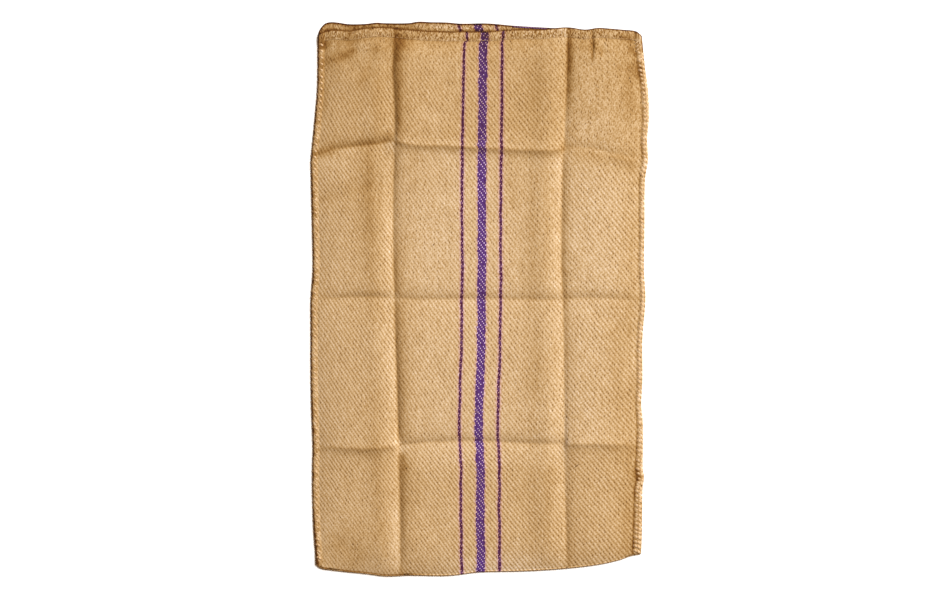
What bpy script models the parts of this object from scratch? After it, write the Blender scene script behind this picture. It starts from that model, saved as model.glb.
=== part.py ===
"""An empty jute sack laid flat, with its mouth towards +Y and its bottom fold towards -Y.

It is one cloth body. The back wall lies flat on the ground. The front wall lies over it, in the
troughs and ridges that folding has left. The walls are sewn together down both sides, and each
has a hem turned over at the mouth.
"""

import math
from collections import namedtuple

import bmesh
import bpy

MM = 0.001

# Driving sizes, in millimetres
CLOTH = 1.4  # one layer of the twill
HEM = 2.4  # the hem's two layers, pressed together
HEM_DEPTH = 20.0
ROOM = 5.8  # least height between the walls, over the back wall's hem
FOLD_DEPTH = 5.2  # how far a sharp trough lies below the flat of a panel
RIDGE_HEIGHT = 2.2
SEAM_WIDTH = 10.0  # cloth gathered by the overcast side seams
SEAM_TOP = 4.8
EDGE_LEVEL = 1.8  # height of the outermost edge, all round
BOTTOM_TURN = 3.0  # from the bottom fold to the inside of it
BOTTOM_TOP = 4.6
SIDE_RISE = 34.0  # the front wall climbs from a seam to its full height over this
BOTTOM_RISE = 30.0
MOUTH_SINK = 60.0  # the front wall sinks towards the mouth over this
SIDE_FOLD_REACH = (24.0, 30.0)  # to the left and to the right of a fold down the sack
PANEL_BLEND = 16.0  # width over which a cross fold turns from trough to ridge at a side fold

TROUGH_LEVEL = HEM + ROOM + CLOTH
JUTE = (0.61, 0.39, 0.185)

# The sides and the two folds down the sack, at heights y. deep_* is how sharp a fold is there.
SideRow = namedtuple("SideRow", "y left right fold_left fold_right deep_left deep_right")
SIDES = (
    SideRow(-560, -334, 324, -162, 178, 0.60, 0.75),
    SideRow(-520, -335, 327, -162, 177, 0.60, 0.75),
    SideRow(-469, -338, 328, -162, 176, 0.65, 0.70),
    SideRow(-378, -340, 329, -163, 174, 0.75, 0.65),
    SideRow(-300, -339, 331, -165, 173, 0.75, 0.60),
    SideRow(-246, -341, 331, -167, 172, 0.78, 0.55),
    SideRow(-154, -343, 329, -169, 171, 0.80, 0.60),
    SideRow(-63, -343, 332, -172, 170, 0.80, 0.55),
    SideRow(0, -343, 336, -173, 169, 0.78, 0.60),
    SideRow(59, -339, 333, -175, 167, 0.72, 0.70),
    SideRow(140, -340, 334, -176, 167, 0.50, 0.68),
    SideRow(221, -342, 336, -176, 168, 0.60, 0.60),
    SideRow(282, -343, 342, -174, 170, 0.75, 0.60),
    SideRow(367, -335, 343, -173, 174, 0.90, 0.65),
    SideRow(424, -330, 341, -175, 176, 0.97, 0.80),
    SideRow(470, -329, 335, -177, 177, 1.00, 0.90),
    SideRow(520, -329, 331, -176, 178, 0.95, 0.80),
    SideRow(565, -328, 325, -176, 178, 0.85, 0.70),
)

# The bottom fold, from the left corner to the right one.
BottomPoint = namedtuple("BottomPoint", "x y")
BOTTOM = (
    BottomPoint(-336, -526),
    BottomPoint(-323, -545),
    BottomPoint(-300, -551),
    BottomPoint(-225, -558),
    BottomPoint(-145, -562),
    BottomPoint(-63, -562),
    BottomPoint(0, -555),
    BottomPoint(99, -552),
    BottomPoint(181, -546),
    BottomPoint(245, -538),
    BottomPoint(311, -523),
    BottomPoint(328, -514),
)

# The two lips of the mouth, from the left corner to the right one. They meet at the seams.
LipPoint = namedtuple("LipPoint", "x front back")
LIPS = (
    LipPoint(-330, 536, 536),
    LipPoint(-319, 542, 550),
    LipPoint(-298, 547, 563),
    LipPoint(-266, 545, 558),
    LipPoint(-232, 550, 559),
    LipPoint(-195, 552, 558),
    LipPoint(-146, 547, 560),
    LipPoint(-100, 544, 563),
    LipPoint(-38, 543, 558),
    LipPoint(14, 543, 560),
    LipPoint(67, 547, 554),
    LipPoint(124, 546, 550),
    LipPoint(180, 549, 547),
    LipPoint(230, 549, 546),
    LipPoint(290, 547, 544),
    LipPoint(317, 542, 541),
    LipPoint(328, 533, 533),
)

# The three folds across the sack: their heights at the sides, at the folds down the sack and in
# the middle, and what they are there: -1 is a full trough and 1 a full ridge.
CrossFold = namedtuple("CrossFold", "left fold_left middle fold_right right at_sides in_middle")
CROSS_FOLDS = (
    CrossFold(-304, -300, -287, -290, -298, 0.9, -0.7),
    CrossFold(9, 8, 8, 7, -2, -0.7, -0.8),
    CrossFold(288, 315, 304, 308, 280, -0.8, 1.0),
)
CROSS_FOLD_PLACES = (-343.0, -170.0, 0.0, 170.0, 343.0)  # the x of the five heights in a row
CROSS_FOLD_REACH = (26.0, 20.0)  # below and above a fold

# How far each panel swells above its folds, from the bottom band to the top one.
Band = namedtuple("Band", "left middle right")
SWELL = (
    Band(0.8, 0.4, 1.0),
    Band(1.0, 1.4, 0.9),
    Band(1.2, 1.0, 1.6),
    Band(-0.8, 0.6, 1.2),
)

# Where the mesh has its columns and rows, as shares of a panel or of a band between folds. A
# side panel's columns run from its seam to its fold.
SIDE_PANEL_STEPS = (0.0, 0.02, 0.062, 0.13, 0.26, 0.48, 0.70, 0.86, 0.955, 1.0)
MIDDLE_STEPS = (0.0, 0.03, 0.08, 0.18, 0.34, 0.5, 0.66, 0.82, 0.92, 0.97, 1.0)
BAND_STEPS = (0.0, 0.035, 0.10, 0.26, 0.5, 0.74, 0.90, 0.965, 1.0)
BOTTOM_BAND_STEPS = (0.0, 0.012, 0.05, 0.13, 0.30, 0.5, 0.72, 0.89, 0.96, 1.0)
MOUTH_BAND_STEPS = (0.0, 0.04, 0.12, 0.28, 0.48, 0.68, 0.84)
HEM_STEPS = (0.93, 0.5, 0.0)  # shares of the hem's depth below the lip, after its sewn edge
SEAM_COLUMN = 2  # the column along the inner side of a seam
TURN_ROW = 1  # the row along the inside of the bottom fold
PLACING_ROUNDS = 6  # a point's x depends on its y and its y on its x, so both are found in turns


def clear_scene():
    for thing in list(bpy.data.objects):
        bpy.data.objects.remove(thing, do_unlink=True)


def smooth_step(share):
    share = min(max(share, 0.0), 1.0)
    return share * share * (3.0 - 2.0 * share)


def read_table(table, key, column, at):
    """A smooth curve through one column of a table, read where its key column is at."""
    keys = [getattr(row, key) for row in table]
    values = [getattr(row, column) for row in table]
    at = min(max(at, keys[0]), keys[-1])
    place = max(i for i in range(len(keys) - 1) if keys[i] <= at)

    def slope(i):
        low, high = max(i - 1, 0), min(i + 1, len(keys) - 1)
        return (values[high] - values[low]) / (keys[high] - keys[low])

    span = keys[place + 1] - keys[place]
    t = (at - keys[place]) / span
    start = values[place] + t * t * (3 - 2 * t) * (values[place + 1] - values[place])
    lean = t * (1 - t) ** 2 * slope(place) - t * t * (1 - t) * slope(place + 1)
    return start + span * lean


def side_value(column, y):
    return read_table(SIDES, "y", column, y)


def cross_fold_height(fold, x):
    """The height of a cross fold at x, straight between its five places."""
    places = CROSS_FOLD_PLACES
    x = min(max(x, places[0]), places[-1])
    i = max(n for n in range(len(places) - 1) if places[n] <= x)
    share = (x - places[i]) / (places[i + 1] - places[i])
    return fold[i] + share * (fold[i + 1] - fold[i])


def crease(distance, reach):
    """1 on a fold, dying away over reach[0] before it and reach[1] after it."""
    return math.exp(-abs(distance) / reach[0 if distance < 0 else 1])


def side_share(x, y):
    """1 in the panels at the sides and 0 in the middle one."""
    left = (side_value("fold_left", y) - x) / PANEL_BLEND
    right = (x - side_value("fold_right", y)) / PANEL_BLEND
    return smooth_step(max(left, right) + 0.5)


def panel_walls(y):
    """The x of the left side, the two folds down the sack and the right side, at height y."""
    return [side_value(name, y) for name in ("left", "fold_left", "fold_right", "right")]


def band_ends(x, lip):
    """The y of the bottom fold, the three cross folds and a lip of the mouth, at x."""
    folds = [cross_fold_height(fold, x) for fold in CROSS_FOLDS]
    return [read_table(BOTTOM, "x", "y", x), *folds, read_table(LIPS, "x", lip, x)]


def arch(at, limits):
    """(interval, height): which interval of the limits at is in, and a half sine across it."""
    i = sum(at > limit for limit in limits[1:-1])
    share = (at - limits[i]) / (limits[i + 1] - limits[i])
    return i, math.sin(math.pi * min(max(share, 0.0), 1.0))


def swell(x, y):
    """How far the middle of a panel stands above its own folds."""
    panel, across = arch(x, panel_walls(y))
    band, along = arch(y, band_ends(x, "front"))
    return SWELL[band][panel] * across * along


def folded_height(x, y):
    """The front wall's outer face, as folding left it, away from its edges."""
    flatness = 1.0
    for name in ("left", "right"):
        distance = x - side_value("fold_" + name, y)
        flatness *= 1.0 - side_value("deep_" + name, y) * crease(distance, SIDE_FOLD_REACH)
    ridge = 0.0
    at_side = side_share(x, y)
    for fold in CROSS_FOLDS:
        rise = fold.in_middle + at_side * (fold.at_sides - fold.in_middle)
        rise *= crease(y - cross_fold_height(fold, x), CROSS_FOLD_REACH)
        ridge = max(ridge, rise * flatness)
        flatness *= 1.0 - max(-rise, 0.0)
    return TROUGH_LEVEL + FOLD_DEPTH * flatness + RIDGE_HEIGHT * ridge + swell(x, y)


def front_height(x, y, hemmed):
    """The front wall's outer face, with its edges brought down to the seams and the mouth."""
    inset = min(x - side_value("left", y), side_value("right", y) - x)
    up = y - read_table(BOTTOM, "x", "y", x)
    down = read_table(LIPS, "x", "front", x) - y
    height = folded_height(x, y)
    height += (TROUGH_LEVEL - height) * (1.0 - smooth_step(down / MOUTH_SINK))
    if hemmed:
        height += HEM - CLOTH
    near_seam = smooth_step((inset - SEAM_WIDTH) / SIDE_RISE)
    near_bottom = smooth_step((up - BOTTOM_TURN) / BOTTOM_RISE)
    height = SEAM_TOP + (height - SEAM_TOP) * near_seam
    return BOTTOM_TOP + (height - BOTTOM_TOP) * near_bottom


def column_steps():
    """(panel, share across it) for each column, from the left seam to the right one."""
    steps = [(0, share) for share in SIDE_PANEL_STEPS]
    steps += [(1, share) for share in MIDDLE_STEPS[1:]]
    steps += [(2, 1.0 - share) for share in reversed(SIDE_PANEL_STEPS[:-1])]
    return steps


def row_steps():
    """(band, share along it, hemmed) for each row, from the bottom fold to the mouth."""
    steps = [(0, share, False) for share in BOTTOM_BAND_STEPS]
    for band in (1, 2):
        steps += [(band, share, False) for share in BAND_STEPS[1:]]
    steps += [(3, share, False) for share in MOUTH_BAND_STEPS[1:]]
    return [*steps, ("hem", 1.0, False), *(("hem", share, True) for share in HEM_STEPS)]


def place(column, row, lip):
    """The x and y of a mesh point whose row ends at the given lip of the mouth."""
    panel, across = column
    band, along, _ = row
    y = 0.0
    for _ in range(PLACING_ROUNDS):
        walls = panel_walls(y)
        x = walls[panel] + across * (walls[panel + 1] - walls[panel])
        ends = band_ends(x, lip)
        if band == "hem":
            y = ends[-1] - along * HEM_DEPTH
        else:
            y = ends[band] + along * (ends[band + 1] - ends[band])
    return x, y


def build_layers(mesh):
    """Four grids of vertices, as {(layer, column, row): vertex}, that share their closed edges."""
    columns, rows = column_steps(), row_steps()
    last = len(columns) - 1
    points = {}
    for i, column in enumerate(columns):
        for j, row in enumerate(rows):
            hemmed = row[2]
            thickness = HEM if hemmed else CLOTH
            front = place(column, row, "front")
            back = place(column, row, "back")
            top = front_height(*front, hemmed)
            if i in (0, last) or j == 0:
                rim = mesh.verts.new((*front, EDGE_LEVEL))
                points["front", i, j] = points["back", i, j] = rim
            else:
                points["front", i, j] = mesh.verts.new((*front, top))
                points["back", i, j] = mesh.verts.new((*back, 0.0))
            if not (SEAM_COLUMN <= i <= last - SEAM_COLUMN and j >= TURN_ROW):
                continue
            if i in (SEAM_COLUMN, last - SEAM_COLUMN) or j == TURN_ROW:
                corner = mesh.verts.new((*front, EDGE_LEVEL))
                points["inner front", i, j] = points["inner back", i, j] = corner
            else:
                points["inner front", i, j] = mesh.verts.new((*front, top - thickness))
                points["inner back", i, j] = mesh.verts.new((*back, thickness))
    return points, last, len(rows) - 1


def add_walls(mesh, points, last, mouth):
    """The faces of the four layers."""
    limits = {
        "front": (0, last, 0),
        "back": (0, last, 0),
        "inner front": (SEAM_COLUMN, last - SEAM_COLUMN, TURN_ROW),
        "inner back": (SEAM_COLUMN, last - SEAM_COLUMN, TURN_ROW),
    }
    for layer, (left, right, bottom) in limits.items():
        for i in range(left, right):
            for j in range(bottom, mouth):
                corners = [(i, j), (i + 1, j), (i + 1, j + 1), (i, j + 1)]
                mesh.faces.new([points[layer, *corner] for corner in corners])


def add_mouth(mesh, points, last, mouth):
    """The cut ends of the walls round the mouth, and the ends of the two seams."""
    for i in range(SEAM_COLUMN, last - SEAM_COLUMN):
        for outer, inner in (("front", "inner front"), ("back", "inner back")):
            rim = [points[outer, n, mouth] for n in (i, i + 1)]
            rim += [points[inner, n, mouth] for n in (i + 1, i)]
            mesh.faces.new(rim)
    for edge, step in ((0, 1), (last, -1)):
        front = [points["front", edge + step * n, mouth] for n in range(SEAM_COLUMN + 1)]
        back = [points["back", edge + step * n, mouth] for n in range(1, SEAM_COLUMN + 1)]
        corner = points["inner front", edge + step * SEAM_COLUMN, mouth]
        mesh.faces.new([*front, corner, *reversed(back)])


def centre_on_box(mesh):
    """Moves the body so that the middle of its box is over the origin, and turns it to metres."""
    for axis in (0, 1):
        reach = [vertex.co[axis] for vertex in mesh.verts]
        middle = (min(reach) + max(reach)) / 2
        for vertex in mesh.verts:
            vertex.co[axis] -= middle
    for vertex in mesh.verts:
        vertex.co *= MM


def jute_material():
    material = bpy.data.materials.new("jute twill")
    material.use_nodes = True
    shader = material.node_tree.nodes["Principled BSDF"]
    shader.inputs["Base Color"].default_value = (*JUTE, 1.0)
    shader.inputs["Roughness"].default_value = 0.9
    shader.inputs["Metallic"].default_value = 0.0
    return material


def build_sack():
    mesh = bmesh.new()
    points, last, mouth = build_layers(mesh)
    add_walls(mesh, points, last, mouth)
    add_mouth(mesh, points, last, mouth)
    bmesh.ops.recalc_face_normals(mesh, faces=mesh.faces)
    centre_on_box(mesh)
    data = bpy.data.meshes.new("sack")
    mesh.to_mesh(data)
    mesh.free()
    data.materials.append(jute_material())
    data.shade_smooth()
    sack = bpy.data.objects.new("sack", data)
    bpy.context.collection.objects.link(sack)
    return sack


clear_scene()
build_sack()
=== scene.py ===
import math
import random
from bisect import bisect_right
from functools import partial

import bmesh
import bpy
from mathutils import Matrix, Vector, noise


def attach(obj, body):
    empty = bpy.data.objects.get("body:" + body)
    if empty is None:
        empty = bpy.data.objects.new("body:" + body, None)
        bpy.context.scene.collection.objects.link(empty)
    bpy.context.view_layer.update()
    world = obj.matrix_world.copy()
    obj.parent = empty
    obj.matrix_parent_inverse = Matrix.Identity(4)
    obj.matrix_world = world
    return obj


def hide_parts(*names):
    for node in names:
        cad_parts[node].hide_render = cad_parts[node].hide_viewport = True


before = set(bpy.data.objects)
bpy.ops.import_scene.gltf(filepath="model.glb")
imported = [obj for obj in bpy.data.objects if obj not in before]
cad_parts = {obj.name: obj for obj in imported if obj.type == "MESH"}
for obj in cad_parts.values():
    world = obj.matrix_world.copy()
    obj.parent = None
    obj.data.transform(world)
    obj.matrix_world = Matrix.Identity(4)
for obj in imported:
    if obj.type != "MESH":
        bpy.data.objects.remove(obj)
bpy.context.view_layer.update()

# An empty jute sack laid flat, mouth to +Y. Sizes are in millimetres until a mesh is finished.
mm = 0.001
chance = random.Random(41)


def smoothStep(share):
    share = min(max(share, 0.0), 1.0)
    return share * share * (3.0 - 2.0 * share)


def mixValues(first, second, share):
    return first + (second - first) * share


def readTable(table, column, at):  # a smooth curve through one column, read along the first one
    keys = next(iter(table.values()))
    values = table[column]
    at = min(max(at, keys[0]), keys[-1])
    i = min(bisect_right(keys, at), len(keys) - 1) - 1
    last = len(keys) - 1
    low, high = max(i - 1, 0), min(i + 2, last)
    span = keys[i + 1] - keys[i]
    startSlope = (values[i + 1] - values[low]) / (keys[i + 1] - keys[low])
    endSlope = (values[high] - values[i]) / (keys[high] - keys[i])
    t = (at - keys[i]) / span
    rise = t * t * (3 - 2 * t) * (values[i + 1] - values[i])
    lean = t * (1 - t) ** 2 * startSlope - t * t * (1 - t) * endSlope
    return values[i] + rise + span * lean


def hill(distance, width):  # 1 on the spot, falling away smoothly to both sides
    return math.exp(-(distance / width) ** 2)


def below(value, limit, blend):  # 1 well below the limit, falling to 0 at it
    return smoothStep((limit - value) / blend)


def above(value, limit, blend):  # 0 up to the limit, rising to 1 over the blend
    return smoothStep((value - limit) / blend)


def unevenness(x, y, size, layer):  # soft noise, about -1 to 1, and its own in each layer
    return noise.noise(Vector((x, y, layer)) / size)


def stations(length, spots, widest):  # places from 0 to length, closest together at the spots
    places = [0.0]
    while places[-1] < length:
        spacing = widest
        for spot, closest, growth, calm in spots:
            spacing = min(spacing, closest + growth * max(abs(places[-1] - spot) - calm, 0.0))
        places.append(places[-1] + spacing)
    return [place * length / places[-1] for place in places]


# Where the cloth lies: both side edges and the two folds down the sack, at each y.
sides = {
    "y": (-560, -520, -469, -385, -364, -346, -300, -246, -215, -185, -154, -93, -63, 0, 59, 140, 221,
          250, 282, 323, 345, 367, 424, 470, 520, 565),
    "left": (-332, -333.5, -337.5, -340, -340, -340, -339, -341, -342, -342.5, -343, -343, -343, -343,
             -339, -340, -342, -342.5, -343, -339.2, -337, -335, -330, -329, -329, -328),
    "right": (324, 327, 329, 330, 333, 330.5, 331, 330.5, 327.5, 329, 330, 329.5, 331, 336, 333, 334,
              334.5, 336, 341, 339.5, 341, 343, 341, 335, 330, 325),
    "foldLeft": (-162, -162, -162, -163, -163.5, -164, -165, -167, -167.5, -168, -169, -171, -172, -173,
                 -175, -176, -176, -175.2, -174, -173.5, -173.2, -173, -175, -176.8, -174, -173.5),
    "foldRight": (177.5, 176.5, 175, 173, 173, 172.5, 172.5, 171.5, 171.5, 171, 171, 170.5, 170, 169, 166,
                  165.5, 167, 167.7, 168.5, 170.7, 171.8, 173, 176, 177, 178, 178),
}

# How deep each of those two folds falls from its left, how high it rises to its right, and how much
# painted shade lies in its valley, where a negative one is painted light.
sideFolds = {
    "y": (-560, -470, -378, -300, -250, -154, -63, 10, 59, 140, 221, 290, 322, 350, 424, 500, 560),
    "leftDrop": (3.0, 4.2, 4.4, 4.6, 5.0, 5.2, 5.0, 4.8, 5.4, 5.8, 5.2, 3.6, 0.4, 1.8, 1.4, 1.2, 0.8),
    "leftRise": (4.0, 5.6, 5.8, 5.8, 6.2, 6.4, 6.0, 5.0, 4.2, 4.0, 4.6, 4.8, 0.8, 5.2, 6.8, 6.4, 3.4),
    "rightDrop": (3.0, 4.0, 4.6, 4.8, 5.2, 5.6, 5.6, 5.6, 6.0, 6.2, 6.0, 5.4, 5.1, 4.8, 4.6, 4.0, 2.6),
    "rightRise": (2.6, 3.6, 3.8, 3.8, 3.8, 3.8, 3.8, 3.8, 3.8, 3.8, 4.0, 4.4, 4.3, 4.2, 4.8, 5.0, 3.0),
    "leftValleyShade": (0.10, 0.14, 0.26, 0.24, 0.24, 0.28, 0.32, 0.28, 0.32, 0.12, 0.16, 0.12, 0.0, 0.08, 0.28,
                 0.42, 0.46),
    "rightValleyShade": (0.15, 0.10, -0.04, -0.12, -0.06, 0.06, 0.12, 0.15, 0.23, 0.18, 0.15, 0.12, -0.04, -0.14,
                  0.34, 0.9, 0.5),
}

# The bottom fold, and the two lips of the mouth.
bottomFold = {
    "x": (-336, -323, -300, -270, -225, -195, -170, -145, -63, 0, 99, 181, 245, 285, 306, 318, 329),
    "y": (-537, -547, -551, -554.5, -559, -563, -563, -561.5, -562, -555, -552.5, -547, -539, -530,
          -522.5, -520, -518),
}
lips = {
    "x": (-330, -326, -321, -313, -298, -266, -232, -210, -195, -146, -125, -100, -70, -38, 14, 67, 124,
          152, 180, 213, 240, 265, 290, 317, 328),
    "front": (532, 539, 541, 544, 547, 545, 550, 551.5, 552, 547, 545.5, 544, 543, 543, 543, 547, 547,
              550, 551.5, 547, 550.5, 549, 547, 544, 535),
    "back": (532, 545, 554, 561, 563, 559, 559.5, 562, 561, 561, 564, 563, 562.5, 560, 560.5, 556, 552.5,
             551, 550, 546, 547.5, 546.5, 545, 543, 535),
}

# The pit beside the right-hand bead: how far in it lies, and how dark its painted shade is.
rightPit = {
    "y": (-560, -470, -400, -330, -250, -93, 79, 231, 455, 560),
    "inset": (17.0, 17.0, 16.0, 14.0, 12.0, 11.5, 10.5, 11.5, 14.5, 13.5),
    "soilAndShade": (0.70, 0.80, 0.70, 0.58, 0.34, 0.04, 0.14, 0.20, 0.28, 0.28),
}

# The three folds across the sack. A negative height is a trough. Below and above are how far it
# spreads to each side, in the left, middle and right panels, and lost is the share of it that is
# gone where it meets the left-hand fold down the sack.
crossFolds = (
    {"line": {"x": (-343, -303, -258, -206, -170, -125, -74, 0, 76, 129, 170, 210, 245, 285, 343),
              "y": (-300, -301, -303, -303, -298, -292, -289, -288, -292, -294, -294, -294, -294,
                    -296, -297)},
     "height": (4.4, -4.4, 3.8), "below": (10.0, 34.0, 8.0), "above": (44.0, 12.0, 44.0), "lost": 0.0},
    {"line": {"x": (-343, -303, -258, -206, -170, -125, 0, 129, 170, 210, 285, 343),
              "y": (2, 2, 4, 4, 2, 0, 1, -1, 0, 2.5, 0, -3)},
     "height": (-4.4, -4.2, -4.2), "below": (46.0, 44.0, 40.0), "above": (10.0, 14.0, 14.0), "lost": 0.2},
    {"line": {"x": (-343, -327, -300, -270, -243, -213, -180, -150, -125, -74, 0, 130, 150, 180, 235, 264,
                    300, 343),
              "y": (288, 294, 304, 309, 312, 315, 321, 315, 311, 311, 306, 301, 301, 308, 306, 297,
                    291, 288)},
     "height": (-5.0, 4.4, -2.2), "below": (40.0, 9.0, 24.0), "above": (12.0, 42.0, 10.0), "lost": 0.75},
)

sackCloth = {
    "thickness": 1.15,  # 2/1 twill of doubled yarn
    "layerGap": 0.15,
    "hemDepth": 20.0,
    "hemPress": 0.6,  # the stitches pull its edge down
    "hemPressReach": 4.0,
    "hemFolds": 0.35,  # share of the long folds that the stiff hem lets through
    "hemStiff": (38.0, 26.0),  # how far below the lip it is stiff, and over how far that fades
    "lipInset": 1.3,  # from the lip to where the cloth starts to turn
    "bottomInset": 2.4,
    "bottomBulge": 1.8,
    "bottomTurn": 5.0,  # cloth that goes round the bottom fold
    "lipTurn": 2.0,
    "panelLevel": 12.6,  # outer face of the front wall, where nothing is folded
    "seamGutter": 4.0,  # where the needle pulls the walls together
    "gutterInset": 13.0,
    "beadTop": 4.9,
    "beadFoot": 1.9,
    "beadInset": 0.46,  # share of the way to the gutter
    "sideRise": 105.0,
    "bottomTop": 3.9,
    "bottomEdge": 2.0,
    "bottomRise": 75.0,
    "mouthLevel": 9.0,
    "mouthFolds": 0.5,  # share of every fold that is left at the mouth
    "mouthReach": 55.0,
    "foldTip": 1.6,  # how round the folds are
    "leftReach": (14.0, 9.0),  # before and after the fold
    "rightReach": (14.0, 10.0),
    "levelReach": 80.0,
    "valleyDepth": 6.0,  # a long fold this deep
    "valleyCalm": 0.6,  # takes this share of the folds across it
    "lostPlace": -4.0,  # from the left-hand fold
    "lostReach": 13.0,
    "panelBlend": 14.0,
    "hump": 2.0,
    "humpPlace": -38.0,  # from each long fold
    "humpReach": 24.0,
    "cockles": ((0.55, 75.0), (0.275, 27.78)),  # puckers: their heights and sizes
}


def sideValue(column, y):
    return readTable(sides, column, y)


def softDistance(distance):
    tip = sackCloth["foldTip"]
    return math.sqrt(distance * distance + tip * tip) - tip


def sideFoldHeight(name, x, y):
    distance = x - sideValue("fold" + name.capitalize(), y)
    drop = readTable(sideFolds, name + "Drop", y)
    rise = readTable(sideFolds, name + "Rise", y)
    before, after = sackCloth[name + "Reach"]
    if distance < 0:
        return -drop * math.exp(-softDistance(distance) / before)
    level = (rise - drop) * math.exp(-distance / sackCloth["levelReach"])
    return level - rise * math.exp(-softDistance(distance) / after)


def panelShares(x, y):  # how much of the left, middle and right panel there is at x
    blend = sackCloth["panelBlend"]
    left = smoothStep((sideValue("foldLeft", y) - x) / blend + 0.5)
    right = smoothStep((x - sideValue("foldRight", y)) / blend + 0.5)
    return left, 1.0 - left - right, right


def humpHeight(x, y):  # the cloth swells a little before it drops into either fold
    height = 0.0
    for name in ("foldLeft", "foldRight"):
        distance = x - sideValue(name, y) - sackCloth["humpPlace"]
        height += sackCloth["hump"] * hill(distance, sackCloth["humpReach"])
    return height


def perPanel(values, shares):
    return sum(value * share for value, share in zip(values, shares))


def crossFoldHeight(fold, x, y, shares):
    distance = y - readTable(fold["line"], "y", x)
    reach = perPanel(fold["below"] if distance < 0 else fold["above"], shares)
    crossing = x - sideValue("foldLeft", y) - sackCloth["lostPlace"]
    kept = 1.0 - fold["lost"] * hill(crossing, sackCloth["lostReach"])
    return perPanel(fold["height"], shares) * kept * math.exp(-softDistance(distance) / reach)


# Lesser creases: where each starts and ends, its height, and how far it spreads to its right and to
# its left, looking along it.
smallCreases = (
    ((-338, 190), (-205, 243), -2.2, (26.0, 11.0)),
    ((226, -26), (312, -74), -1.2, (9.0, 20.0)),
    ((-286, 486), (-252, 520), -3.0, (14.0, 10.0)),
    ((-212, 505), (-228, 452), -1.8, (12.0, 12.0)),
    ((-330, 418), (-246, 452), 1.4, (14.0, 26.0)),
    ((227.5, 552), (229.0, 498), -2.8, (2.8, 3.0)),
    ((234.5, 548), (233.5, 484), 1.6, (4.0, 3.0)),
    ((251.5, 512), (251.0, 494), -1.6, (2.6, 2.6)),
    ((-308, -470), (-262, -520), -2.0, (18.0, 22.0)),
    ((296, 440), (330, 486), -1.6, (10.0, 12.0)),
    ((266, 287), (336, 273), 2.0, (4.5, 14.0)),
)


def strokeAt(stroke, x, y):  # the height of one crease, or the brown of one soft stroke, at a place
    (startX, startY), (endX, endY), height, spreads = stroke
    alongX, alongY = endX - startX, endY - startY
    length = math.hypot(alongX, alongY)
    share = ((x - startX) * alongX + (y - startY) * alongY) / length ** 2
    across = ((x - startX) * alongY - (y - startY) * alongX) / length
    spread = spreads[0 if across > 0 else 1]
    if abs(across) > 5 * spread or not -0.25 < share < 1.25:  # too far off to show
        return 0.0
    fade = smoothStep((share + 0.25) / 0.5) * smoothStep((1.25 - share) / 0.5)
    return height * fade * math.exp(-softDistance(across) / spread)


def foldedHeight(x, y, down):  # every fold, crease and pucker, above the panel's level
    size = sackCloth
    shares = panelShares(x, y)
    stiff = mixValues(1.0, size["hemFolds"], below(down, *size["hemStiff"]))
    height = (sideFoldHeight("left", x, y) + sideFoldHeight("right", x, y)) * stiff
    calm = 1.0 - size["valleyCalm"] * min(max(-height / size["valleyDepth"], 0.0), 1.0)
    height += sum(crossFoldHeight(fold, x, y, shares) for fold in crossFolds) * calm
    height += sum(strokeAt(crease, x, y) for crease in smallCreases)
    for cockle, cockleSize in size["cockles"]:
        height += cockle * unevenness(x, y, cockleSize, 0.0)
    return height + humpHeight(x, y)


def seamHeight(inset, gutter):  # the round bead outside the gutter
    size = sackCloth
    crest = gutter * size["beadInset"]
    reach, foot = (crest, size["beadFoot"]) if inset < crest else (gutter - crest, size["seamGutter"])
    share = abs(inset - crest) / reach
    return foot + (size["beadTop"] - foot) * math.sqrt(max(1.0 - share ** 2, 0.0))


def frontWall(x, y):  # the outer face of the front wall
    size = sackCloth
    toLeft, toRight = x - sideValue("left", y), sideValue("right", y) - x
    inset = max(min(toLeft, toRight), 0.0)
    gutter = size["gutterInset"] if toLeft < toRight else readTable(rightPit, "inset", y)
    if inset < gutter:
        height = seamHeight(inset, gutter)
    else:
        down = readTable(lips, "front", x) - y
        folded = foldedHeight(x, y, down)
        mouth = size["mouthLevel"] + size["mouthFolds"] * folded
        height = mixValues(mouth, size["panelLevel"] + folded, smoothStep(down / size["mouthReach"]))
        height -= size["hemPress"] * hill(down - size["hemDepth"], size["hemPressReach"])
        rise = smoothStep(math.sqrt((inset - gutter) / size["sideRise"]))
        height = mixValues(size["seamGutter"], height, rise)
    up = max(y - readTable(bottomFold, "y", x) - size["bottomEdge"], 0.0)
    return mixValues(size["bottomTop"], height, smoothStep(math.sqrt(up / size["bottomRise"])))


# The warp runs down the sack in pairs of yarns, and the weft crosses it in single picks.
weave = {
    "cutWidth": 675.0,
    "pairSpacing": 2.9,
    "pairSpread": 0.117,  # they lie closer at the left edge than at the right one
    "middle": 0.5135,  # share of the width at the middle stripe
    "pickSpacing": 3.8805,
    "bottomPickSpacing": 3.61,  # beaten closer below the lowest fold
    "closerBelow": -300.0,
    "hemShift": (6.0, 2.4),  # how far the hem pushes the stripes aside, left and right of its middle
    "backShift": -7.0,
    "backHemShift": -13.0,
    "backHemEase": 6.0,
}
pairCount = round(weave["cutWidth"] / weave["pairSpacing"])

# The middle stripe, from the bottom up.
stripeLine = {
    "y": (-554, -484, -398, -347, -306, -266, -229, -205, -165, -98, 84, 203, 423, 516, 550),
    "x": (3.0, 2.3, 1.6, 2.2, 0.6, -1.4, -1.2, -0.2, 1.0, 3.6, 5.0, 4.9, 6.5, 8.0, 8.6),
}


def pairsAt(x, y):
    left, right, middle = sideValue("left", y), sideValue("right", y), readTable(stripeLine, "x", y)
    if x < middle:
        across = weave["middle"] * (x - left) / (middle - left)
    else:
        across = mixValues(weave["middle"], 1.0, (x - middle) / (right - middle))
    spread = weave["pairSpread"]
    return pairCount * ((1 + spread) * across - spread * across * across)


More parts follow.
